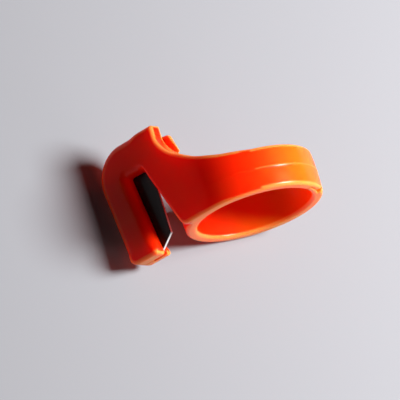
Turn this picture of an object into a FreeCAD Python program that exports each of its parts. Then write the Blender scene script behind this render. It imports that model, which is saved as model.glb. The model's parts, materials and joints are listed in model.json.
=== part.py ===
import FreeCAD
import Part
import math
import os

# Finger ring thread cutter, in millimetres.
# The origin is the centre of the finger bore. +Y runs along the bore, away from the blade's open end,
# +Z is up, and the head lies on the -X side. The ring stands on its band and on the head's outer edge.

# Band
BORE_RADIUS = 9.25
BAND_WALL = 2.0
BAND_WIDTH = 6.9
BAND_CROWN = 0.12           # the band's outer face is this much lower at its edges than at mid-width
BAND_EDGE_RADIUS = 0.5
# Angles round the bore are measured from +X towards +Z.
UPPER_ROOT_DEG = 140.0      # where the upper arm leaves the head
LOWER_ROOT_DEG = 202.0      # where the lower arm leaves the head
SPLIT_DEG = 22.0            # the line where the two ends meet on the outside
TONGUE_END_DEG = 44.0       # how far the lower arm's tongue reaches under the upper arm
ROOT_GAP_DEG = 0.5
SPLIT_GAP_DEG = 1.2
LAP_GAP = 0.12              # between the tongue and the lip over it
TIP_CORNER_RADIUS = 2.0     # rounding of the upper arm's free corners

# Head: a flat hooked plate, tangent to the outside of the band.
# Its own directions are "along" (+Y), "out" (away from the band, in the plate) and "up" (its normal).
HEAD_NORMAL_DEG = 145.5
HEAD_THICKNESS = 4.0
HEAD_REAR = 13.8
HEAD_NEAR = -5.35
HEAD_OUT_REAR = 19.7        # the outer edge runs closer to the bore towards the near end
HEAD_OUT_NEAR = 17.8
HEAD_INNER = 6.0
HEAD_REAR_CORNER_RADIUS = 5.4
HEAD_NEAR_CORNER_RADIUS = 1.8
HEAD_TOP_EDGE_RADIUS = 1.2  # round the plate's outer edge, the jaw's near end and the jaw's inner edge
HEAD_UNDER_EDGE_RADIUS = 2.25
# Rear edge of the neck, as (along, out), from the band's far rim to the head
FLARE = [(3.45, -7.6), (4.5, -2.7), (5.6, 0.0), (7.3, 2.7), (9.0, 5.1), (11.0, 6.0)]
FLARE_BEFORE_DEG = 43.0     # the band is widened from this far before the head's normal
FLARE_AFTER_DEG = 30.0
NECK_RELIEF = 0.25          # the neck and head stay this much further from the finger than the band

# Hook's gap, which is open at the near end
GAP_REAR = 8.1
GAP_JAW_REAR = 13.8
GAP_JAW_NEAR = 12.0
GAP_NECK_REAR = 10.05
GAP_NECK_NEAR = 6.4
GAP_NECK_START = -1.9       # the neck's edge turns here, towards the band's near rim
GAP_BAND_NEAR = -3.9
GAP_BAND_OUT = 5.85

# Cover: the underside half of the head
COVER_THICKNESS = 1.8
COVER_REAR = 11.9
COVER_JOIN_LOW = 8.4        # where the cover's join reaches its inner edge
COVER_INNER_NEAR = 3.6      # the cover reaches closer to the finger than the upper half
COVER_INNER_REAR = 5.0
COVER_CORNER_RADIUS = 1.2
COVER_STEP_OUT = 7.5        # out to here it stops short of the upper half's rear end
COVER_STEP_END = 10.5

# Blade
BLADE_THICKNESS = 0.4
BLADE_EDGE = 9.75
BLADE_BACK = 14.8
BLADE_REAR = 9.6
BLADE_TIP = -2.7            # where its slanted end meets the sharp edge
BLADE_HEEL = -5.0           # its near end, just inside the jaw's end face
BLADE_HEEL_OUT = 12.8       # where its slanted end reaches its near end
BLADE_BEVEL = 0.3
BLADE_EDGE_LAND = 0.06      # thickness left at the sharp edge
POCKET_CLEARANCE = 0.05

OUTER_RADIUS = BORE_RADIUS + BAND_WALL
HALF_WIDTH = BAND_WIDTH / 2
CLEAR_LENGTH = 40.0         # longer than the object, for cutting tools
CUT_MARGIN = 1.0            # how far cutting tools reach past what they cut
BORE_AXIS = FreeCAD.Vector(0, -1, 0)
CENTRE = FreeCAD.Vector(0, 0, 0)


def polar(radius, angle_deg, along=0.0):
    """Point at an angle round the bore."""
    angle = math.radians(angle_deg)
    return FreeCAD.Vector(radius * math.cos(angle), along, radius * math.sin(angle))


def on_head(along, out, up):
    """Point given in the head's own directions."""
    return polar(up, HEAD_NORMAL_DEG, along) + polar(out, HEAD_NORMAL_DEG + 90)


HEAD_UP = polar(1.0, HEAD_NORMAL_DEG)
HEAD_OUT = polar(1.0, HEAD_NORMAL_DEG + 90)
HEAD_TOP = OUTER_RADIUS
HEAD_UNDERSIDE = OUTER_RADIUS - HEAD_THICKNESS
PARTING = HEAD_UNDERSIDE + COVER_THICKNESS      # height of the join, and of the blade's upper face
BLADE_BOTTOM = PARTING - BLADE_THICKNESS


def rounded_wire(points, radii):
    """Closed wire through the points, each corner rounded by an arc of its own radius."""
    count = len(points)
    arcs = []
    for i in range(count):
        before = (points[i - 1] - points[i]).normalize()
        after = (points[(i + 1) % count] - points[i]).normalize()
        half = before.getAngle(after) / 2
        setback = radii[i] / math.tan(half)
        middle = (before + after).normalize()
        depth = radii[i] / math.sin(half) - radii[i]
        arcs.append((points[i] + before * setback, points[i] + middle * depth, points[i] + after * setback))
    edges = []
    for i in range(count):
        start, mid, end = arcs[i]
        if radii[i] > 0:
            edges.append(Part.Arc(start, mid, end).toShape())
        following = arcs[(i + 1) % count][0]
        if (following - end).Length > 1e-6:
            edges.append(Part.LineSegment(end, following).toShape())
    return Part.Wire(Part.__sortEdges__(edges))


def plate(outline, radii, bottom, top):
    """Prism of an outline in the head's plane, between two heights."""
    points = [on_head(along, out, bottom) for along, out in outline]
    face = Part.Face(rounded_wire(points, radii))
    return face.extrude(HEAD_UP * (top - bottom))


def band_sector(start_deg, end_deg, rear=HALF_WIDTH):
    """Part of the band, turned about the bore from its rounded, slightly crowned section."""
    outer_edge = OUTER_RADIUS - BAND_CROWN
    section = [(-HALF_WIDTH, BORE_RADIUS), (rear, BORE_RADIUS), (rear, outer_edge), (0, OUTER_RADIUS),
               (-HALF_WIDTH, outer_edge)]
    corner = BAND_EDGE_RADIUS
    points = [polar(radius, start_deg, along) for along, radius in section]
    face = Part.Face(rounded_wire(points, [corner, corner, corner, 0, corner]))
    return face.revolve(CENTRE, BORE_AXIS, end_deg - start_deg)


def ring_sector(inner, outer, start_deg, end_deg):
    """Plain piece of tube about the bore, longer than the object."""
    corners = [(-CLEAR_LENGTH, inner), (CLEAR_LENGTH, inner), (CLEAR_LENGTH, outer), (-CLEAR_LENGTH, outer)]
    wire = Part.makePolygon([polar(radius, start_deg, along) for along, radius in corners + corners[:1]])
    return Part.Face(wire).revolve(CENTRE, BORE_AXIS, end_deg - start_deg)


def bore_tool(clearance=0.0):
    """Cylinder that clears the finger bore."""
    far_end = FreeCAD.Vector(0, CLEAR_LENGTH, 0)
    return Part.makeCylinder(BORE_RADIUS + clearance, 2 * CLEAR_LENGTH, far_end, BORE_AXIS)


def flare_prism(bottom, top):
    """Everything on the near side of the neck's rear edge."""
    corners = [on_head(along, out, 0) for along, out in (FLARE[-1], (-HALF_WIDTH, FLARE[-1][1]),
                                                         (-HALF_WIDTH, FLARE[0][1]), FLARE[0])]
    curve = Part.BSplineCurve()
    curve.interpolate([on_head(along, out, 0) for along, out in FLARE])
    edges = [curve.toShape()]
    for start, end in zip(corners, corners[1:]):
        edges.append(Part.LineSegment(start, end).toShape())
    prism = Part.Face(Part.Wire(Part.__sortEdges__(edges))).extrude(HEAD_UP * (top - bottom))
    prism.translate(HEAD_UP * bottom)
    return prism


def hook_gap():
    """Space between the jaw and the neck, open at the near end."""
    mouth = HEAD_NEAR - 5 * CUT_MARGIN
    slope = (GAP_JAW_REAR - GAP_JAW_NEAR) / (GAP_REAR - HEAD_NEAR)
    jaw_mouth = GAP_JAW_NEAR + slope * (mouth - HEAD_NEAR)
    outline = [(mouth, jaw_mouth), (GAP_REAR, GAP_JAW_REAR), (GAP_REAR, GAP_NECK_REAR),
               (GAP_NECK_START, GAP_NECK_NEAR), (GAP_BAND_NEAR, GAP_BAND_OUT), (mouth, GAP_BAND_OUT)]
    return plate(outline, [0] * len(outline), HEAD_UNDERSIDE - CUT_MARGIN, HEAD_TOP + CUT_MARGIN)


def outer_edges(head, height):
    """Edges at one height of the plate, round its outer side and round the jaw."""
    jaw_middle = (GAP_JAW_NEAR + GAP_JAW_REAR) / 2
    found = []
    for edge in head.Edges:
        middle = edge.valueAt((edge.FirstParameter + edge.LastParameter) / 2)
        if abs(middle.dot(HEAD_UP) - height) < 1e-3 and middle.dot(HEAD_OUT) > jaw_middle - 0.1:
            found.append(edge)
    return found


def head_plate():
    """Whole head and neck as one plate with its outer edges rounded and the hook's gap cut in."""
    outline = [(HEAD_NEAR, HEAD_INNER), (HEAD_REAR, HEAD_INNER), (HEAD_REAR, HEAD_OUT_REAR),
               (HEAD_NEAR, HEAD_OUT_NEAR)]
    radii = [0, 0, HEAD_REAR_CORNER_RADIUS, HEAD_NEAR_CORNER_RADIUS]
    head = plate(outline, radii, HEAD_UNDERSIDE, HEAD_TOP).cut(hook_gap())
    head = head.makeFillet(HEAD_TOP_EDGE_RADIUS, outer_edges(head, HEAD_TOP))
    head = head.makeFillet(HEAD_UNDER_EDGE_RADIUS, outer_edges(head, HEAD_UNDERSIDE))
    beside_band = [(-HALF_WIDTH, 0), (CLEAR_LENGTH, 0), (CLEAR_LENGTH, HEAD_INNER), (-HALF_WIDTH, HEAD_INNER)]
    neck = flare_prism(HEAD_UNDERSIDE, HEAD_TOP)
    neck = neck.common(plate(beside_band, [0] * 4, HEAD_UNDERSIDE - CUT_MARGIN, HEAD_TOP + CUT_MARGIN))
    return head.fuse(neck.cut(hook_gap()))


def whole_band(start_deg, end_deg):
    """Stretch of the band, widened towards the rear near the head."""
    band = band_sector(start_deg, end_deg)
    wide_start = max(start_deg, HEAD_NORMAL_DEG - FLARE_BEFORE_DEG)
    wide_end = min(end_deg, HEAD_NORMAL_DEG + FLARE_AFTER_DEG)
    if wide_start < wide_end:
        wide = band_sector(wide_start, wide_end, CLEAR_LENGTH)
        band = band.fuse(wide.common(flare_prism(0, HEAD_TOP + CUT_MARGIN)).cut(bore_tool(NECK_RELIEF)))
    return band


def cover_block():
    """Space taken by the cover: the lower part of the jaw and of the head's rear end."""
    outline = [(HEAD_NEAR - CUT_MARGIN, GAP_NECK_REAR), (GAP_REAR, GAP_NECK_REAR),
               (COVER_JOIN_LOW, COVER_INNER_NEAR),
               (HEAD_REAR + CUT_MARGIN, COVER_INNER_NEAR),
               (HEAD_REAR + CUT_MARGIN, HEAD_OUT_REAR + CUT_MARGIN),
               (HEAD_NEAR - CUT_MARGIN, HEAD_OUT_REAR + CUT_MARGIN)]
    return plate(outline, [0] * len(outline), HEAD_UNDERSIDE - CUT_MARGIN, PARTING)


def cover_tab():
    """Where the cover reaches closer to the finger than the half above it."""
    outline = [(COVER_JOIN_LOW, COVER_INNER_NEAR), (COVER_REAR, COVER_INNER_REAR),
               (COVER_REAR, HEAD_INNER + 2 * CUT_MARGIN), (COVER_JOIN_LOW, HEAD_INNER + 2 * CUT_MARGIN)]
    return plate(outline, [0, COVER_CORNER_RADIUS, 0, 0], HEAD_UNDERSIDE, PARTING)


def cover_rear_trim():
    """The cover stops short of the upper half at the rear inner corner."""
    outline = [(HEAD_NEAR - CUT_MARGIN, 0), (COVER_REAR, 0), (COVER_REAR, COVER_STEP_OUT),
               (HEAD_REAR + CUT_MARGIN, COVER_STEP_END), (HEAD_REAR + CUT_MARGIN, HEAD_OUT_REAR + CUT_MARGIN),
               (HEAD_NEAR - CUT_MARGIN, HEAD_OUT_REAR + CUT_MARGIN)]
    radii = [0, 0, COVER_CORNER_RADIUS, 0, 0, 0]
    return plate(outline, radii, HEAD_UNDERSIDE - CUT_MARGIN, PARTING + CUT_MARGIN)


def blade_pocket():
    """Slot for the blade, open at the jaw's near end."""
    inner, outer = BLADE_EDGE - POCKET_CLEARANCE, BLADE_BACK + POCKET_CLEARANCE
    near, rear = HEAD_NEAR - CUT_MARGIN, BLADE_REAR + POCKET_CLEARANCE
    outline = [(near, inner), (rear, inner), (rear, outer), (near, outer)]
    return plate(outline, [0] * 4, BLADE_BOTTOM - POCKET_CLEARANCE, PARTING + POCKET_CLEARANCE)


def blade_strip():
    """Flat steel strip with a slanted end and its long edge ground from both faces."""
    outline = [(BLADE_TIP, BLADE_EDGE), (BLADE_REAR, BLADE_EDGE), (BLADE_REAR, BLADE_BACK),
               (BLADE_HEEL, BLADE_BACK), (BLADE_HEEL, BLADE_HEEL_OUT)]
    strip = plate(outline, [0] * len(outline), BLADE_BOTTOM, PARTING)
    middle = (BLADE_BOTTOM + PARTING) / 2
    land = BLADE_EDGE_LAND / 2
    half = BLADE_THICKNESS / 2
    overshoot = 0.01            # the cutting tool starts just outside the strip
    for side in (-1, 1):
        corners = [(BLADE_EDGE - overshoot, land), (BLADE_EDGE - overshoot, half + overshoot),
                   (BLADE_EDGE + BLADE_BEVEL, half + overshoot), (BLADE_EDGE + BLADE_BEVEL, half)]
        points = [on_head(-CLEAR_LENGTH, out, middle + side * up) for out, up in corners]
        ground_face = Part.Face(Part.makePolygon(points + points[:1]))
        strip = strip.cut(ground_face.extrude(FreeCAD.Vector(0, 2 * CLEAR_LENGTH, 0)))
    return strip


def tip_corner_tool(side):
    """What is cut off to round one free corner of the upper arm."""
    angle = SPLIT_DEG + SPLIT_GAP_DEG
    radial, tangent = polar(1.0, angle), polar(1.0, angle + 90)
    along = FreeCAD.Vector(0, side, 0)
    start = polar(BORE_RADIUS - CUT_MARGIN, angle)
    corner = start + along * (HALF_WIDTH - TIP_CORNER_RADIUS)
    reach = TIP_CORNER_RADIUS + CUT_MARGIN
    depth = BAND_WALL + 3 * CUT_MARGIN
    points = [corner - tangent, corner + tangent * TIP_CORNER_RADIUS,
              corner + tangent * TIP_CORNER_RADIUS + along * reach, corner - tangent + along * reach]
    block = Part.Face(Part.makePolygon(points + points[:1])).extrude(radial * depth)
    centre = corner + tangent * TIP_CORNER_RADIUS
    return block.cut(Part.makeCylinder(TIP_CORNER_RADIUS, depth, centre, radial))


def finish(shape):
    """One clean solid."""
    shape = shape.removeSplitter()
    solids = sorted(shape.Solids, key=lambda solid: solid.Volume)
    return solids[-1]


def make_parts():
    lap_radius = BORE_RADIUS + BAND_WALL / 2
    under_lip = ring_sector(CUT_MARGIN, lap_radius + LAP_GAP / 2, 0, TONGUE_END_DEG + SPLIT_GAP_DEG)
    over_tongue = ring_sector(lap_radius - LAP_GAP / 2, OUTER_RADIUS + CUT_MARGIN, SPLIT_DEG, 90 + SPLIT_DEG)

    upper_arm = whole_band(SPLIT_DEG + SPLIT_GAP_DEG, UPPER_ROOT_DEG - ROOT_GAP_DEG)
    upper_arm = upper_arm.cut(under_lip)
    for side in (-1, 1):
        upper_arm = upper_arm.cut(tip_corner_tool(side))

    lower_arm = band_sector(LOWER_ROOT_DEG + ROOT_GAP_DEG, 360 + TONGUE_END_DEG)
    lower_arm = lower_arm.cut(over_tongue)

    relief = bore_tool(NECK_RELIEF)
    pocket = blade_pocket()
    plate_solid = head_plate()
    cover = plate_solid.common(cover_block()).fuse(cover_tab()).common(cover_rear_trim())
    body = plate_solid.cut(relief).fuse(whole_band(UPPER_ROOT_DEG, LOWER_ROOT_DEG)).cut(cover_block())
    return {"ring_body": body.cut(pocket), "upper_band_arm": upper_arm, "lower_band_arm": lower_arm,
            "head_cover": cover.cut(relief).cut(pocket), "blade": blade_strip()}


os.makedirs("parts", exist_ok=True)
for name, shape in make_parts().items():
    solid = finish(shape)
    solid.exportStep(os.path.join("parts", name + ".step"))
    box = solid.BoundBox
    print(f"{name:16s} valid {solid.isValid()}  volume {solid.Volume:8.2f} mm3  "
          f"size {box.XLength:6.2f} x {box.YLength:6.2f} x {box.ZLength:6.2f} mm")
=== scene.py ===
import math
import json

import bmesh
import bpy
import numpy as np
from mathutils import Matrix, Vector


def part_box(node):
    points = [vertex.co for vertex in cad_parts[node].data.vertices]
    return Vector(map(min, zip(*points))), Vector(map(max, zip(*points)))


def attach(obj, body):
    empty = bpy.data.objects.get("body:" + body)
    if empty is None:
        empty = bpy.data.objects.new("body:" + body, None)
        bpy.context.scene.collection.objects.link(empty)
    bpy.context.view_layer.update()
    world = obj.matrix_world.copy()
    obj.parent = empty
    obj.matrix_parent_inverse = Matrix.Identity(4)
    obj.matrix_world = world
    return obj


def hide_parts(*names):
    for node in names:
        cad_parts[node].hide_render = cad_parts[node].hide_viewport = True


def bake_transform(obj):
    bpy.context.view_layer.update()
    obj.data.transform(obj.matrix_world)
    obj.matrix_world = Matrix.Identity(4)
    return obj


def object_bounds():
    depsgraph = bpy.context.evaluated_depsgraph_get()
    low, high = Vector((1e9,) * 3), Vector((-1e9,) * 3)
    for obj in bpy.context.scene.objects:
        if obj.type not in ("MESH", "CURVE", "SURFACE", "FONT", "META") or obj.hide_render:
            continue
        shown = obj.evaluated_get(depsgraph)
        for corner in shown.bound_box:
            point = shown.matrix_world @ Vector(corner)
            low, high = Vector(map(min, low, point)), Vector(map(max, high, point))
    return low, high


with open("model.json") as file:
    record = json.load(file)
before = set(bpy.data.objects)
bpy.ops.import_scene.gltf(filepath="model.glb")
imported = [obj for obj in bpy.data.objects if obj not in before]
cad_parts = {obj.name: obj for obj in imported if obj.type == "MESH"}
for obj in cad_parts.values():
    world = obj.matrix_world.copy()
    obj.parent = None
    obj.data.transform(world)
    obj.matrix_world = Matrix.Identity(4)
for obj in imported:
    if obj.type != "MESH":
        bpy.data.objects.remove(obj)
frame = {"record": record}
cad_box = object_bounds()
record = frame["record"]

MM = 0.001
NET_STEP = 0.14              # grid step of the modelled surfaces, in mm

# ---------------------------------------------------------------- sizes, in mm
joints = {joint["name"]: joint for joint in record["behaviour"]["joints"]}


def node_box(node):
    """Lowest and highest corner of a CAD node, in mm."""
    low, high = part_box(node)
    return np.array(low) / MM, np.array(high) / MM


def joint_angle(name):
    """Angle round the bore of an arm's root, from +X towards +Z."""
    x, _, z = joints[name]["pos_m"]
    return math.atan2(z, x) % (2 * math.pi)


# Read from the frame
BORE_RADIUS = record["mounts"][0]["dims"]["r_mm"]
OUTER_RADIUS = -node_box("lower_band_arm")[0][2]
HALF_WIDTH = node_box("lower_band_arm")[1][1]
HEAD_NEAR = node_box("ring_body")[0][1]
HEAD_REAR = node_box("ring_body")[1][1]
BLADE_NEAR = node_box("blade")[0][1]
BLADE_REAR = node_box("blade")[1][1]
LOWER_ROOT = joint_angle("lower_arm_flex")

# Band
BAND_CROWN = 0.12            # how much lower the outer face is at its edges than at mid-width
BAND_EDGE_RADIUS = 0.55
BAND_REACH = OUTER_RADIUS + 0.3    # what lies further from the bore's axis is no part of the band
JOIN_LINE_HEIGHT = 0.05      # the mould's join, a low line round the middle of the band
JOIN_LINE_WIDTH = 0.2
MID_RADIUS = (BORE_RADIUS + OUTER_RADIUS) / 2
SPLIT = math.radians(22.0)
TONGUE_END = math.radians(44.0)
SPLIT_GAP = 0.2
LAP_GAP = 0.12
LAP_EDGE_RADIUS = 0.15       # edges of the lip's and the tongue's faces in the lap
TIP_EDGE_RADIUS = 0.18       # edges of the arms' ends
TIP_CORNER_RADIUS = 2.0
ANGLE_JUMP = 0.75 * math.pi  # angles round the band run from minus this, so they don't jump near the split

# Head plate: "along" is +Y, "out" points away from the band in the plate, "up" is its normal.
HEAD_NORMAL = math.radians(145.5)
HEAD_THICKNESS = 4.0
HEAD_TOP = OUTER_RADIUS
HEAD_UNDERSIDE = HEAD_TOP - HEAD_THICKNESS
HEAD_INNER = 6.0
HEAD_OUTER = 19.5            # about where the head ends, out
COVER_THICKNESS = 1.8
COVER_INNER = 3.0            # about where the cover ends, towards the band
PARTING = HEAD_UNDERSIDE + COVER_THICKNESS
NECK_RELIEF = 0.25
UP = np.array([math.cos(HEAD_NORMAL), 0.0, math.sin(HEAD_NORMAL)])
OUT = np.array([-math.sin(HEAD_NORMAL), 0.0, math.cos(HEAD_NORMAL)])

# Blade, and the join between the head's two halves that holds it
BLADE_EDGE = 9.75
BLADE_BACK = 14.8
BLADE_THICKNESS = 0.4
BLADE_TIP = -2.7
BLADE_HEEL_OUT = 12.8
BLADE_GRIND = 0.1            # width of the ground faces
BLADE_LAND = 0.03            # half the thickness that is left at the sharp edge
CLEARANCE = 0.05             # round the blade, and on each side of the join
JOIN_EDGE_RADIUS = 0.12      # edges along the join
TAB_EDGE_RADIUS = 0.35
INNER_EDGE_RADIUS = 0.3      # edges that face the bore, and the tab's join with the cover

# Where shapes change, as (start, end)
CROWN_FADE = (-8.0, 1.0)     # out: the band's crown ends in the flat head
JAW_ROUNDING = (9.0, 11.5)   # out: the long edges grow rounder from the neck to the jaw
JAW_TOP_EXTRA = 0.75         # added to the radius of the jaw's upper edges
JAW_UNDER_EXTRA = 1.7        # added to the radius of its lower edges
JAW_END_SHARE = 0.1          # share of both that is left at the jaw's near end
JAW_END_FADE = (HEAD_NEAR + 0.5, HEAD_NEAR + 2.5)  # along: it grows from that share to the whole
FILLET_RADIUS = 2.0          # where the band meets the head below its top, clear of the near rim
FILLET_LEAST = 0.02          # where they meet elsewhere
FILLET_UP = (9.0, 10.6)
FILLET_OUT = (4.6, 6.6)
FILLET_ALONG = (-3.2, -2.2)

# Outlines in the head's plane, as (along, out, corner radius)
GAP_CORNER = (8.1, 10.05)    # rear corner of the hook's gap, by the neck
COVER_JOIN_END = (8.4, 3.6)  # inner end of the line where the body and the cover meet
TAB_CORNER = (11.9, 5.0)
BEYOND_NEAR = HEAD_NEAR - 1
BEYOND_REAR = 14.8
BEYOND_OUT = 21.0
PLATE_OUTLINE = [
    (-3.45, -8.0, 0), (-3.45, 5.8, 1.5), (-1.8, 6.45, 3.5),                          # neck's near side
    (*GAP_CORNER, 0.45), (8.2, 13.8, 0.3), (HEAD_NEAR, 12.0, 0.4),                   # gap
    (HEAD_NEAR, 17.7, 1.8), (HEAD_REAR, 19.7, 5.6), (HEAD_REAR, HEAD_INNER, 0.35),   # jaw and rear end
    (11.2, HEAD_INNER, 2.6), (8.7, 4.9, 7.0), (5.6, 0.0, 12.0), (4.2, -4.0, 12.0),   # neck's rear side
    (3.45, -8.0, 0)]
BLOCK_OUTLINE = [
    (BEYOND_NEAR, GAP_CORNER[1], 0), (*GAP_CORNER, 0), (*COVER_JOIN_END, 0),
    (BEYOND_REAR, COVER_JOIN_END[1], 0), (BEYOND_REAR, BEYOND_OUT, 0), (BEYOND_NEAR, BEYOND_OUT, 0)]
COVER_OUTLINE = [
    (BEYOND_NEAR, GAP_CORNER[1], 0), (*GAP_CORNER, 0), (*COVER_JOIN_END, 0), (*TAB_CORNER, 0.8),
    (11.9, 7.5, 1.2), (BEYOND_REAR, 10.5, 0), (BEYOND_REAR, BEYOND_OUT, 0), (BEYOND_NEAR, BEYOND_OUT, 0)]
TAB_OUTLINE = [(7.7, 3.3, 0), (*TAB_CORNER, 0.8), (11.9, 8.0, 0), (7.7, 8.0, 0)]

# Where the painted pale glow goes on the plastic, as (start, end) of a change
EDGE_BEND = (0.3, 1.7)       # how sharply the surface is bent, per mm
FACING_END = (0.3, 0.8)      # how squarely it faces along the bore
RIM_GLOW = (HALF_WIDTH - 0.4, HALF_WIDTH - 0.1)
NEAR_END_GLOW = (HEAD_NEAR + 0.1, HEAD_NEAR + 0.5)
REAR_END_GLOW = (HEAD_REAR - 0.4, HEAD_REAR - 0.1)
# Round the hook's gap the painted glow is left out, where the edges lie in the head's shade
GAP_ACROSS = ((5.8, 7.2), (14.0, 15.0))
GAP_LENGTHWISE = ((HEAD_NEAR + 0.4, HEAD_NEAR + 1.0), (9.0, 10.0))


# ---------------------------------------------------------------- fields: distance to a surface, in mm
def blend_union(a, b, radius):
    """Union with a concave fillet."""
    corner = np.hypot(np.maximum(radius - a, 0), np.maximum(radius - b, 0))
    return np.maximum(radius, np.minimum(a, b)) - corner


def round_common(a, b, radius):
    """Intersection with a rounded convex edge."""
    corner = np.hypot(np.maximum(radius + a, 0), np.maximum(radius + b, 0))
    return np.minimum(-radius, np.maximum(a, b)) + corner


def smooth_step(value, start, end):
    """0 up to the start, 1 from the end, and an even change between them."""
    t = np.clip((value - start) / (end - start), 0, 1)
    return t * t * (3 - 2 * t)


def hump(value, rise, fall):
    """0 up to the rise, 1 between the rise and the fall, and 0 from there."""
    return smooth_step(value, *rise) * (1 - smooth_step(value, *fall))


def rounded_loop(outline, run=0.25):
    """Corner points of an outline, each rounded corner as an arc in runs of about this length."""
    points = []
    count = len(outline)
    for i in range(count):
        corner = np.array(outline[i][:2], float)
        before = np.array(outline[i - 1][:2], float) - corner
        after = np.array(outline[(i + 1) % count][:2], float) - corner
        before /= np.linalg.norm(before)
        after /= np.linalg.norm(after)
        radius = outline[i][2]
        if radius == 0:
            points.append(corner)
            continue
        half = math.acos(np.clip(before @ after, -1, 1)) / 2
        middle = (before + after) / np.linalg.norm(before + after)
        centre = corner + middle * radius / math.sin(half)
        start = corner + before * radius / math.tan(half) - centre
        end = corner + after * radius / math.tan(half) - centre
        segments = max(3, math.ceil(radius * (math.pi - 2 * half) / run))
        for step in range(segments + 1):
            share = step / segments
            direction = start * (1 - share) + end * share
            points.append(centre + direction / np.linalg.norm(direction) * radius)
    return points


def polygon(u, v, points):
    """Signed distance to a polygon, negative inside."""
    best = np.full(np.broadcast(u, v).shape, np.inf)
    inside = np.zeros(best.shape, bool)
    for (ax, ay), (bx, by) in zip(points, points[1:] + points[:1]):
        ex, ey = bx - ax, by - ay
        wx, wy = u - ax, v - ay
        t = np.clip((wx * ex + wy * ey) / (ex * ex + ey * ey), 0, 1)
        best = np.minimum(best, (wx - t * ex) ** 2 + (wy - t * ey) ** 2)
        if ey != 0:
            inside ^= ((ay > v) != (by > v)) & (u < (v - ay) / ey * ex + ax)
    return np.where(inside, -1.0, 1.0) * np.sqrt(best)


PLATE_LOOP = rounded_loop(PLATE_OUTLINE)
BLOCK_LOOP = rounded_loop(BLOCK_OUTLINE)
COVER_LOOP = rounded_loop(COVER_OUTLINE)
TAB_LOOP = rounded_loop(TAB_OUTLINE)


def crown_drop(along):
    """How much lower the band's outer face is than the top of the join line round its middle."""
    across = np.minimum(np.abs(along) / HALF_WIDTH, 1)
    return BAND_CROWN * across ** 2 + JOIN_LINE_HEIGHT * (1 - np.exp(-(along / JOIN_LINE_WIDTH) ** 2))


def band_section(along, radius):
    """The band's rounded and slightly crowned section."""
    walls = np.maximum(radius - OUTER_RADIUS + crown_drop(along), BORE_RADIUS - radius)
    return round_common(np.abs(along) - HALF_WIDTH, walls, BAND_EDGE_RADIUS)


def ring_field(along, out, up, arm):
    """The band, ending at the split as the upper arm's thin lip or as the lower arm's tongue under it."""
    radius = np.hypot(out, up)
    angle = HEAD_NORMAL + np.arctan2(out, up)
    turned = (angle + ANGLE_JUMP) % (2 * math.pi) - ANGLE_JUMP
    band = band_section(along, radius)
    past_split = (turned - SPLIT) * MID_RADIUS
    past_tongue = (turned - TONGUE_END) * MID_RADIUS
    near_tip = np.abs(turned - SPLIT) < math.pi / 2
    if arm == "lower":
        tongue = round_common(past_tongue, radius - MID_RADIUS + LAP_GAP / 2, LAP_EDGE_RADIUS)
        tip = np.minimum(tongue, past_split)
    else:
        lip = round_common(SPLIT_GAP - past_split, np.abs(along) - HALF_WIDTH, TIP_CORNER_RADIUS)
        lip = round_common(lip, MID_RADIUS + LAP_GAP / 2 - radius, LAP_EDGE_RADIUS)
        tip = np.minimum(lip, SPLIT_GAP - past_tongue)
    return np.where(near_tip, round_common(band, tip, TIP_EDGE_RADIUS), band)


def plate_field(along, out, up):
    """Head and neck before the join: flat beside the band, and wrapped over it towards the upper arm."""
    radius = np.hypot(out, up)
    plan = polygon(along, out, PLATE_LOOP)
    crowned = 1 - smooth_step(out, *CROWN_FADE)
    top = np.where(out < 0, radius - OUTER_RADIUS, up - HEAD_TOP) + crown_drop(along) * crowned
    relief = BORE_RADIUS + NECK_RELIEF - radius
    under = np.where(out < 0, relief, round_common(HEAD_UNDERSIDE - up, relief, INNER_EDGE_RADIUS))
    off_end = JAW_END_SHARE + (1 - JAW_END_SHARE) * smooth_step(along, *JAW_END_FADE)
    jaw = smooth_step(out, *JAW_ROUNDING) * off_end
    field = round_common(plan, top, BAND_EDGE_RADIUS + JAW_TOP_EXTRA * jaw)
    return round_common(field, under, BAND_EDGE_RADIUS + JAW_UNDER_EXTRA * jaw)


def blade_room(along, out):
    """Plan of the room that the two halves of the head leave for the blade."""
    across = np.abs(out - (BLADE_EDGE + BLADE_BACK) / 2) - (BLADE_BACK - BLADE_EDGE) / 2 - CLEARANCE
    return np.maximum(across, along - BLADE_REAR - CLEARANCE)


def lower_arm_field(along, out, up):
    """The band on the lower arm's side of the split, as far as its root and beyond."""
    return ring_field(along, out, up, "lower")


def moulding_field(along, out, up):
    """Upper arm, neck and the upper half of the head."""
    below_join = np.maximum(polygon(along, out, BLOCK_LOOP), up - PARTING - CLEARANCE)
    head = round_common(plate_field(along, out, up), -below_join, JOIN_EDGE_RADIUS)
    pocket = np.maximum(blade_room(along, out), up - PARTING - CLEARANCE)
    head = np.maximum(head, -pocket)
    filled = (1 - smooth_step(up, *FILLET_UP)) * smooth_step(out, *FILLET_OUT)
    filled = filled * smooth_step(along, *FILLET_ALONG)
    whole = blend_union(ring_field(along, out, up, "upper"), head, FILLET_LEAST + FILLET_RADIUS * filled)
    return np.maximum(whole, BORE_RADIUS - np.hypot(out, up))


def cover_field(along, out, up):
    """Lower half of the head, with the blade's slot in its upper face."""
    radius = np.hypot(out, up)
    tab_faces = np.maximum(HEAD_UNDERSIDE - up, up - PARTING)
    tab = round_common(polygon(along, out, TAB_LOOP), tab_faces, TAB_EDGE_RADIUS)
    tab = round_common(tab, BORE_RADIUS + NECK_RELIEF - radius, INNER_EDGE_RADIUS)
    whole = blend_union(plate_field(along, out, up), tab, INNER_EDGE_RADIUS)
    space = np.maximum(polygon(along, out, COVER_LOOP), up - PARTING + CLEARANCE)
    cover = round_common(whole, space, JOIN_EDGE_RADIUS)
    slot = np.maximum(blade_room(along, out), PARTING - BLADE_THICKNESS - CLEARANCE - up)
    return np.maximum(cover, -slot)


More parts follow.
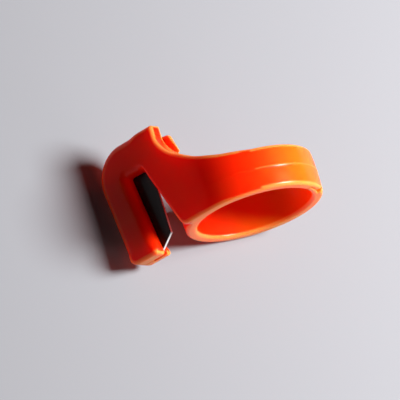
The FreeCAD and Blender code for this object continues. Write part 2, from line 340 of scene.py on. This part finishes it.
# ---------------------------------------------------------------- meshes from fields
def to_row(vectors):
    """Vectors given as (along, out, up), in the row frame's axes."""
    along, out, up = vectors.T
    return np.stack([out * OUT[0] + up * UP[0], along, out * OUT[2] + up * UP[2]], axis=1)


def both_sides(field, points, axis, step):
    """A field's values one step before and one step after each point."""
    shift = np.zeros(3)
    shift[axis] = step
    return field(*(points - shift).T), field(*(points + shift).T)


def gradient(field, points, step=0.01):
    """Unit direction in which a field grows, at each point."""
    grads = []
    for axis in range(3):
        before, after = both_sides(field, points, axis, step)
        grads.append(after - before)
    grads = np.stack(grads, axis=1)
    return grads / np.maximum(np.linalg.norm(grads, axis=1, keepdims=True), 1e-9)


def edge_share(field, points, step=0.3):
    """How sharply each point's surface is bent outwards: 0 where it is nearly flat, 1 on a rounded edge,
    which gets a painted pale glow.
    """
    bend = np.zeros(len(points))
    for axis in range(3):
        before, after = both_sides(field, points, axis, step)
        bend += after + before - 2 * field(*points.T)
    return smooth_step(bend / step ** 2, *EDGE_BEND)


def on_band(points):
    """1 within the band's outer radius, 0 away from it."""
    return 1 - smooth_step(np.hypot(points[:, 1], points[:, 2]), OUTER_RADIUS, BAND_REACH)


def end_share(points, normals):
    """Painted pale glow: 1 on the band's rims and on the head's two end faces, 0 away from them."""
    along = points[:, 0]
    rim = smooth_step(np.abs(along), *RIM_GLOW) * on_band(points)
    near_end = 1 - smooth_step(along, *NEAR_END_GLOW)
    rear_end = smooth_step(along, *REAR_END_GLOW)
    facing = smooth_step(np.abs(normals[:, 0]), *FACING_END)
    return np.maximum(rim, np.maximum(near_end, rear_end)) * facing


def beside_gap(points):
    """1 on the edges round the hook's gap, which lie in the head's shade and are kept free of the painted
    glow, and 0 away from them.
    """
    along, out, _ = points.T
    return hump(out, *GAP_ACROSS) * hump(along, *GAP_LENGTHWISE) * (1 - on_band(points))


def surface_net(field, low, high):
    """Quad mesh of a field's zero surface: one vertex in each grid cell that the surface crosses."""
    first_cell = np.floor(np.array(low) / NET_STEP) - 1
    last_cell = np.ceil(np.array(high) / NET_STEP) + 2
    axes = [np.arange(a, b) * NET_STEP for a, b in zip(first_cell, last_cell)]
    shape = tuple(len(axis) for axis in axes)
    values = np.empty(shape, np.float32)
    out, up = axes[1][None, :, None], axes[2][None, None, :]
    slab = 16                # the grid is worked through in slabs, to save memory
    for start in range(0, shape[0], slab):
        along = axes[0][start:start + slab][:, None, None]
        values[start:start + slab] = field(along, out, up)
    inside = values < 0
    corners = [inside[dx:shape[0] - 1 + dx, dy:shape[1] - 1 + dy, dz:shape[2] - 1 + dz]
               for dx in (0, 1) for dy in (0, 1) for dz in (0, 1)]
    crossed = np.logical_or.reduce(corners) & ~np.logical_and.reduce(corners)
    index = np.full(crossed.shape, -1, np.int64)
    cells = np.argwhere(crossed)
    index[crossed] = np.arange(len(cells))
    # Each vertex starts in the middle of its cell and moves to the surface in a few steps
    points = (first_cell + cells + 0.5) * NET_STEP
    for _ in range(5):
        value = field(*points.T)
        normal = gradient(field, points)
        step = np.clip(value, -0.5 * NET_STEP, 0.5 * NET_STEP)
        points = points - normal * step[:, None]
    faces = []
    for axis in range(3):
        first = [slice(None)] * 3
        second = [slice(None)] * 3
        first[axis], second[axis] = slice(0, -1), slice(1, None)
        a, b = inside[tuple(first)], inside[tuple(second)]
        edges = np.argwhere(a != b)
        enters = b[tuple(edges.T)]
        u, v = (axis + 1) % 3, (axis + 2) % 3
        keep = (edges[:, u] > 0) & (edges[:, v] > 0)
        edges, enters = edges[keep], enters[keep]
        ring = []
        for du, dv in ((-1, -1), (0, -1), (0, 0), (-1, 0)):
            cell = edges.copy()
            cell[:, u] += du
            cell[:, v] += dv
            ring.append(index[tuple(cell.T)])
        quads = np.stack(ring, axis=1)
        quads[enters] = quads[enters][:, ::-1]
        faces.append(quads)
    return points, np.concatenate(faces)


CAP = 1                      # marks the flat faces that close a cut
ROOT_DIRECTION = Vector((math.cos(LOWER_ROOT), 0, math.sin(LOWER_ROOT)))
ROOT_TANGENT = Vector((-math.sin(LOWER_ROOT), 0, math.cos(LOWER_ROOT)))
OUT_VECTOR = Vector(OUT)


def linked_object(name, data):
    """New object in the scene."""
    obj = bpy.data.objects.new(name, data)
    bpy.context.collection.objects.link(obj)
    return obj


def field_object(name, field, low, high, cut=None):
    """Object whose surface is a field's. A cut keeps one side of the plane at the lower arm's root."""
    points, quads = surface_net(field, low, high)
    mesh = bpy.data.meshes.new(name)
    mesh.from_pydata((to_row(points) * MM).tolist(), [], quads.tolist())
    if cut:
        cut_at_root(mesh, cut)
    positions = np.empty(len(mesh.vertices) * 3)
    mesh.vertices.foreach_get("co", positions)
    positions = positions.reshape(-1, 3) / MM
    head_points = np.stack([positions[:, 1], positions @ OUT, positions @ UP], axis=1)
    normals = gradient(field, head_points)
    # The edge attribute holds a painted pale glow on bent edges, rims and end faces, left out in the shade
    # beside the gap
    painted_glow = np.maximum(edge_share(field, head_points), end_share(head_points, normals))
    painted_glow = painted_glow * (1 - beside_gap(head_points))
    corner_vertices = np.empty(len(mesh.loops), np.int64)
    mesh.loops.foreach_get("vertex_index", corner_vertices)
    corner_normals = to_row(normals)[corner_vertices]
    for face in mesh.polygons:
        face.use_smooth = True
        if face.material_index == CAP:
            corner_normals[list(face.loop_indices)] = face.normal
            face.material_index = 0
    mesh.normals_split_custom_set(corner_normals.tolist())
    edge = mesh.attributes.new("edge", "FLOAT", "POINT")
    edge.data.foreach_set("value", painted_glow.astype(np.float32))
    return linked_object(name, mesh)


def cut_at_root(mesh, keep):
    """Cuts the band across at the lower arm's root, and keeps the head's side or the arm's."""
    shape = bmesh.new()
    shape.from_mesh(mesh)

    def by_root(vertex):
        near_axis = math.hypot(vertex.co.x, vertex.co.z) < BAND_REACH * MM
        return near_axis and vertex.co.dot(ROOT_DIRECTION) > 0

    faces = [f for f in shape.faces if all(by_root(v) for v in f.verts)]
    near = [f for f in faces if any(abs(v.co.dot(ROOT_TANGENT)) < 2 * NET_STEP * MM for v in f.verts)]
    geometry = set(near)
    for face in near:
        geometry.update(face.verts)
        geometry.update(face.edges)
    cut = bmesh.ops.bisect_plane(shape, geom=list(geometry), plane_co=(0, 0, 0), plane_no=ROOT_TANGENT,
                                 dist=1e-8)
    loop = [e for e in cut["geom_cut"] if isinstance(e, bmesh.types.BMEdge)]
    bmesh.ops.split_edges(shape, edges=loop)
    # The side to keep is what hangs together with a vertex that is surely on it
    if keep == "head":
        start = max(shape.verts, key=lambda v: v.co.dot(OUT_VECTOR))
    else:
        start = min(shape.verts, key=lambda v: v.co.z)
    kept = {start}
    front = [start]
    while front:
        vertex = front.pop()
        for edge in vertex.link_edges:
            other = edge.other_vert(vertex)
            if other not in kept:
                kept.add(other)
                front.append(other)
    bmesh.ops.delete(shape, geom=[v for v in shape.verts if v not in kept], context="VERTS")
    rim = [e for e in shape.edges if e.is_boundary]
    for face in bmesh.ops.holes_fill(shape, edges=rim, sides=0)["faces"]:
        face.material_index = CAP
    bmesh.ops.recalc_face_normals(shape, faces=shape.faces)
    shape.to_mesh(mesh)
    shape.free()


BAND_LOW = (-HALF_WIDTH, -OUTER_RADIUS, -OUTER_RADIUS)
BAND_HIGH = (HALF_WIDTH, OUTER_RADIUS, OUTER_RADIUS)
moulding = field_object("moulding", moulding_field, (HEAD_NEAR, -OUTER_RADIUS, -OUTER_RADIUS),
                        (HEAD_REAR, HEAD_OUTER, OUTER_RADIUS), cut="head")
lower_arm = field_object("lower_arm_band", lower_arm_field, BAND_LOW, BAND_HIGH, cut="arm")
cover = field_object("cover", cover_field, (HEAD_NEAR, COVER_INNER, HEAD_UNDERSIDE),
                     (HEAD_REAR, HEAD_OUTER, PARTING))


# ---------------------------------------------------------------- blade
def blade_object():
    """Steel strip with a slanted end. Its long edge and its slanted end are ground bright from both faces."""
    half = BLADE_THICKNESS / 2
    middle = PARTING - half
    slant = (BLADE_NEAR - BLADE_TIP) / (BLADE_HEEL_OUT - BLADE_EDGE)
    aside = BLADE_GRIND * math.hypot(1, slant)
    outer = [(BLADE_REAR, BLADE_EDGE), (BLADE_TIP, BLADE_EDGE), (BLADE_NEAR, BLADE_HEEL_OUT),
             (BLADE_NEAR, BLADE_BACK), (BLADE_REAR, BLADE_BACK)]
    inner = [(BLADE_REAR, BLADE_EDGE + BLADE_GRIND),
             (BLADE_TIP + slant * BLADE_GRIND + aside, BLADE_EDGE + BLADE_GRIND),
             (BLADE_NEAR, BLADE_HEEL_OUT - aside / slant)]
    points, faces, bright = [], [], []
    for side in (-1, 1):
        base = len(points)
        points += [(along, out, middle + side * BLADE_LAND) for along, out in outer[:3]]
        points += [(along, out, middle + side * half) for along, out in inner + outer[3:]]
        for face, is_ground in (((0, 1, 4, 3), 1), ((1, 2, 5, 4), 1), ((3, 4, 5, 6, 7), 0)):
            faces.append([base + i for i in face][::side])
            bright.append(is_ground)
    count = len(points) // 2
    for i, j, is_ground in ((0, 1, 1), (1, 2, 1), (2, 5, 0), (5, 6, 0), (6, 7, 0), (7, 3, 0), (3, 0, 0)):
        faces.append([i, j, j + count, i + count])
        bright.append(is_ground)
    mesh = bpy.data.meshes.new("blade")
    mesh.from_pydata((to_row(np.array(points)) * MM).tolist(), [], faces)
    mesh.polygons.foreach_set("material_index", bright)
    shape = bmesh.new()
    shape.from_mesh(mesh)
    bmesh.ops.recalc_face_normals(shape, faces=shape.faces)
    shape.to_mesh(mesh)
    shape.free()
    return linked_object("cutting_blade", mesh)


blade = blade_object()


# ---------------------------------------------------------------- finishes
def set_inputs(node, values):
    """Sets a node's inputs to fixed values, by name or by place."""
    for socket, value in values.items():
        node.inputs[socket].default_value = value


def new_material(name):
    """Material with its node tree's nodes and links, and its main shader."""
    material = bpy.data.materials.new(name)
    material.use_nodes = True
    nodes = material.node_tree.nodes
    return material, nodes, material.node_tree.links, nodes["Principled BSDF"]


FLOW_SHARE = 0.25            # how much the flow marks shift the colour
# Painted light: a pale orange glow painted on the edges, standing in for highlights and light through the
# thin rims
PAINTED_GLOW_SHARE = 0.75            # how far the edges' colour goes towards the pale one
PAINTED_GLOW_ORANGE = (0.85, 0.34, 0.07)


def plastic(name, shade_side_colour, bright):
    """Glossy moulded plastic with faint flow marks, with painted light: lighter away from the head towards
    the key light, and a painted pale glow on its edges. It lets red light through.
    """
    material, nodes, links, shader = new_material(name)
    place = nodes.new("ShaderNodeTexCoord")
    flow = nodes.new("ShaderNodeTexNoise")
    set_inputs(flow, {"Scale": 160, "Detail": 3})
    links.new(place.outputs["Object"], flow.inputs["Vector"])

    # Colour: painted shade, deep red by the head; painted light, bright orange away from it towards the key
    # light; and a painted pale glow on the edges
    split = nodes.new("ShaderNodeSeparateXYZ")
    links.new(place.outputs["Object"], split.inputs["Vector"])
    # Painted light and shade: the colour runs from deep red on the head's side to bright orange towards +X,
    # the key light's side
    across = nodes.new("ShaderNodeMapRange")
    across.interpolation_type = "SMOOTHSTEP"
    set_inputs(across, {"From Min": -0.005, "From Max": 0.009})
    links.new(split.outputs["X"], across.inputs["Value"])
    mixed = nodes.new("ShaderNodeMath")
    mixed.operation = "MULTIPLY_ADD"
    set_inputs(mixed, {1: FLOW_SHARE})
    links.new(flow.outputs["Fac"], mixed.inputs[0])
    links.new(across.outputs["Result"], mixed.inputs[2])
    colour = nodes.new("ShaderNodeMix")
    colour.data_type = "RGBA"
    set_inputs(colour, {"A": (*shade_side_colour, 1), "B": (*bright, 1)})
    links.new(mixed.outputs["Value"], colour.inputs["Factor"])
    # The edge attribute paints the pale glow, a painted highlight, onto the edges
    edge = nodes.new("ShaderNodeAttribute")
    edge.attribute_name = "edge"
    glow_amount = nodes.new("ShaderNodeMath")
    glow_amount.operation = "MULTIPLY"
    set_inputs(glow_amount, {1: PAINTED_GLOW_SHARE})
    links.new(edge.outputs["Fac"], glow_amount.inputs[0])
    with_painted_glow = nodes.new("ShaderNodeMix")
    with_painted_glow.data_type = "RGBA"
    set_inputs(with_painted_glow, {"B": (*PAINTED_GLOW_ORANGE, 1)})
    links.new(colour.outputs["Result"], with_painted_glow.inputs["A"])
    links.new(glow_amount.outputs["Value"], with_painted_glow.inputs["Factor"])
    links.new(with_painted_glow.outputs["Result"], shader.inputs["Base Color"])

    # Gloss: slightly uneven, with the flow marks just raised
    fine = nodes.new("ShaderNodeTexNoise")
    set_inputs(fine, {"Scale": 1500})
    links.new(place.outputs["Object"], fine.inputs["Vector"])
    rough = nodes.new("ShaderNodeMapRange")
    set_inputs(rough, {"To Min": 0.17, "To Max": 0.27})
    links.new(fine.outputs["Fac"], rough.inputs["Value"])
    links.new(rough.outputs["Result"], shader.inputs["Roughness"])
    bump = nodes.new("ShaderNodeBump")
    set_inputs(bump, {"Strength": 0.05, "Distance": 0.00005})
    links.new(flow.outputs["Fac"], bump.inputs["Height"])
    links.new(bump.outputs["Normal"], shader.inputs["Normal"])
    set_inputs(shader, {"IOR": 1.5, "Specular IOR Level": 0.22, "Subsurface Weight": 1.0,
                        "Subsurface Radius": (1.0, 0.12, 0.05), "Subsurface Scale": 0.003})

    # Light from behind comes through red, and the cast shadow is tinted
    through = nodes.new("ShaderNodeBsdfTranslucent")
    set_inputs(through, {"Color": (1.0, 0.02, 0.004, 1)})
    lit = nodes.new("ShaderNodeMixShader")
    set_inputs(lit, {"Fac": 0.24})
    links.new(shader.outputs["BSDF"], lit.inputs[1])
    links.new(through.outputs["BSDF"], lit.inputs[2])
    tint = nodes.new("ShaderNodeBsdfTransparent")
    set_inputs(tint, {"Color": (0.36, 0.08, 0.06, 1)})
    rays = nodes.new("ShaderNodeLightPath")
    whole = nodes.new("ShaderNodeMixShader")
    links.new(rays.outputs["Is Shadow Ray"], whole.inputs["Fac"])
    links.new(lit.outputs["Shader"], whole.inputs[1])
    links.new(tint.outputs["BSDF"], whole.inputs[2])
    links.new(whole.outputs["Shader"], nodes["Material Output"].inputs["Surface"])
    return material


def steel(name, dark, light, metallic):
    """Steel, ground along the blade."""
    material, nodes, links, shader = new_material(name)
    place = nodes.new("ShaderNodeTexCoord")
    stretch = nodes.new("ShaderNodeMapping")
    set_inputs(stretch, {"Scale": (2500, 120, 2500)})
    links.new(place.outputs["Object"], stretch.inputs["Vector"])
    grind = nodes.new("ShaderNodeTexNoise")
    set_inputs(grind, {"Scale": 1, "Detail": 4})
    links.new(stretch.outputs["Vector"], grind.inputs["Vector"])
    tone = nodes.new("ShaderNodeValToRGB")
    tone.color_ramp.elements[0].color = (*dark, 1)
    tone.color_ramp.elements[1].color = (*light, 1)
    links.new(grind.outputs["Fac"], tone.inputs["Fac"])
    links.new(tone.outputs["Color"], shader.inputs["Base Color"])
    rough = nodes.new("ShaderNodeMapRange")
    set_inputs(rough, {"To Min": 0.28, "To Max": 0.45})
    links.new(grind.outputs["Fac"], rough.inputs["Value"])
    links.new(rough.outputs["Result"], shader.inputs["Roughness"])
    set_inputs(shader, {"Metallic": metallic})
    return material


# Each plastic's two colours are painted shade (deep red) and painted light (bright orange)
body_plastic = plastic("orange_plastic", shade_side_colour=(0.84, 0.004, 0.001), bright=(0.72, 0.14, 0.005))
cover_plastic = plastic("cover_plastic", shade_side_colour=(0.84, 0.01, 0.002), bright=(0.72, 0.14, 0.005))
blade_steel = steel("blued_steel", dark=(0.022, 0.021, 0.022), light=(0.06, 0.055, 0.052), metallic=0.85)
bright_steel = steel("ground_edge", dark=(0.55, 0.55, 0.56), light=(0.8, 0.8, 0.8), metallic=0.4)
for obj, material, slot in ((moulding, body_plastic, "moulding"), (lower_arm, body_plastic, "moulding"),
                            (cover, cover_plastic, "cover"), (blade, blade_steel, "blade_steel")):
    obj.data.materials.append(material)
blade.data.materials.append(bright_steel)

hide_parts("ring_body", "upper_band_arm")
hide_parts("lower_band_arm")
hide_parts("head_cover")
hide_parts("blade")
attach(cover, "head")
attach(blade, "head")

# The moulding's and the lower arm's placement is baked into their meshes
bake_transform(moulding)
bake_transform(lower_arm)


# ---------------------------------------------------------------- floor, light and camera
FLOOR_REACH = 1.5            # half the floor's width, in metres
floor_level = cad_box[0].z
floor_mesh = bpy.data.meshes.new("floor")
floor_mesh.from_pydata([(x * FLOOR_REACH, y * FLOOR_REACH, floor_level)
                        for x, y in ((-1, -1), (1, -1), (1, 1), (-1, 1))], [], [(0, 1, 2, 3)])
floor = linked_object("floor", floor_mesh)
floor_material, _, _, floor_shader = new_material("pale_floor")
set_inputs(floor_shader, {"Base Color": (0.245, 0.243, 0.26, 1), "Roughness": 0.9})
floor_mesh.materials.append(floor_material)


def area_light(name, direction, distance, size, power):
    """Round soft light that shines on the bore's centre from a direction. Metres and watts."""
    light = bpy.data.lights.new(name, "AREA")
    light.shape = "DISK"
    light.size = size
    light.energy = power
    obj = linked_object(name, light)
    towards = Vector(direction).normalized()
    obj.location = towards * distance
    obj.rotation_euler = towards.to_track_quat("Z", "Y").to_euler()


area_light("key_light", direction=(0.67, -0.12, 0.73), distance=0.4, size=0.15, power=5.4)
area_light("fill_light", direction=(0.5, -0.85, 0.2), distance=0.4, size=0.2, power=0.4)

world = bpy.data.worlds.new("studio")
bpy.context.scene.world = world
world.use_nodes = True
set_inputs(world.node_tree.nodes["Background"], {"Color": (0.96, 0.96, 1.0, 1), "Strength": 0.022})

# The camera, by the directions of its right side and its back, and by what lies in the picture's middle
RIGHT = Vector((0.930, -0.287, 0.233))
TOWARDS_CAMERA = Vector((-0.319, -0.302, 0.899))
CAMERA_DISTANCE = 0.56265
RIM_CENTRE = Vector((0, -0.00335, 0))
RIM_OFFSET_RIGHT = 0.008525  # how far the rim's centre lies right of the picture's middle
RIM_OFFSET_DOWN = 0.0020615  # and how far below it
back = TOWARDS_CAMERA.normalized()
right = (RIGHT - back * RIGHT.dot(back)).normalized()
camera_up = back.cross(right)
view_centre = RIM_CENTRE - (right * RIM_OFFSET_RIGHT - camera_up * RIM_OFFSET_DOWN)
camera_data = bpy.data.cameras.new("camera")
camera_data.lens = 326.7
camera_data.sensor_width = 36
camera_data.clip_start = 0.01
camera = linked_object("camera", camera_data)
turn = Matrix((right, camera_up, back)).transposed().to_4x4()
camera.matrix_world = Matrix.Translation(view_centre + back * CAMERA_DISTANCE) @ turn
bpy.context.scene.camera = camera
bpy.context.scene.view_settings.view_transform = "Standard"
